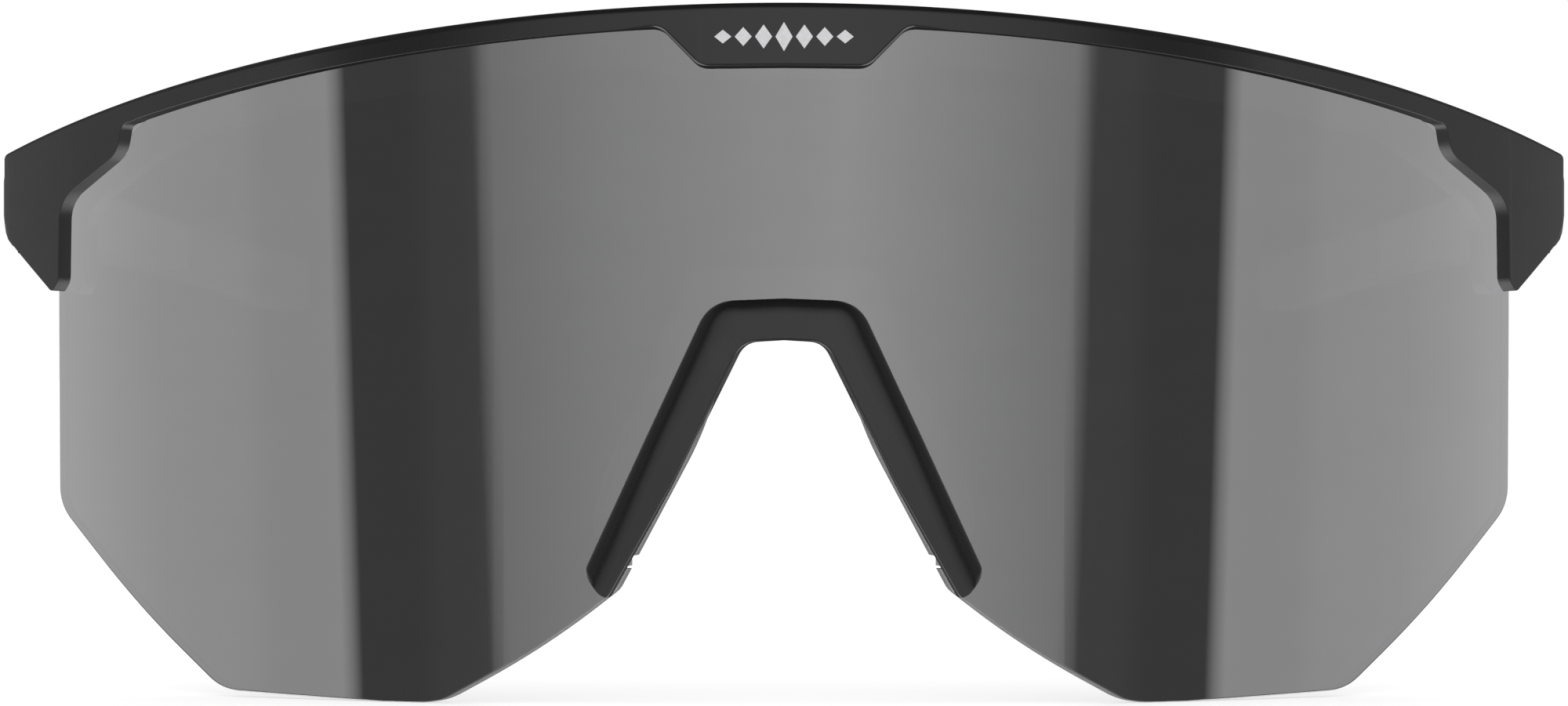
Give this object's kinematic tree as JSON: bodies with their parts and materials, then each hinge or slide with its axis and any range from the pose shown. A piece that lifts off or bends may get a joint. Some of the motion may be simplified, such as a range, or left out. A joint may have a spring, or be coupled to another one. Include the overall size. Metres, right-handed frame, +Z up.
{
  "type": "wraparound sport sunglasses",
  "caption": "Wraparound sport sunglasses with a one-piece mirror shield lens, a slim brow frame, folding temples with rubber grips and a clip-on nose piece with pads.",
  "frame": {"origin": "bottom centre of the bounding box with the temples open: midway between the temples, midway from the brow bar's front to the temple tips, level with the lens's lowest edge", "axes": "+X to the wearer's left, +Y from the front of the glasses to the temple tips, +Z up"},
  "size_m": [0.145, 0.1646, 0.0604],
  "materials": {
    "frame_nylon": "satin black, fine moulded texture",
    "lens_mirror": "grey mirror coating on dark smoke polycarbonate",
    "grip_rubber": "matte black soft rubber",
    "steel": "stainless steel",
    "brass": "turned brass",
    "washer_nylon": "natural nylon"
  },
  "bodies": {
    "front": {"front_frame": "frame_nylon", "lens": "lens_mirror", "nose_clip": "frame_nylon", "nose_pad_left": "grip_rubber", "nose_pad_right": "grip_rubber", "nose_post_left": "steel", "nose_post_right": "steel", "hinge_screw_left": "steel", "hinge_screw_right": "steel", "hinge_insert_left": "brass", "hinge_insert_right": "brass", "hinge_washer_upper_left": "washer_nylon", "hinge_washer_lower_left": "washer_nylon", "hinge_washer_upper_right": "washer_nylon", "hinge_washer_lower_right": "washer_nylon"},
    "temple_left": {"temple_left": "frame_nylon", "temple_grip_left": "grip_rubber", "temple_core_left": "steel"},
    "temple_right": {"temple_right": "frame_nylon", "temple_grip_right": "grip_rubber", "temple_core_right": "steel"}
  },
  "joints": [
    {"name": "fold_left", "type": "hinge", "parent": "front", "child": "temple_left", "pos_m": [0.0682, -0.0361, 0.0436], "axis": [0, 0, 1], "range_deg": [0, 81]},
    {"name": "fold_right", "type": "hinge", "parent": "front", "child": "temple_right", "pos_m": [-0.0682, -0.0361, 0.0436], "axis": [0, 0, -1], "range_deg": [0, 92]}
  ]
}
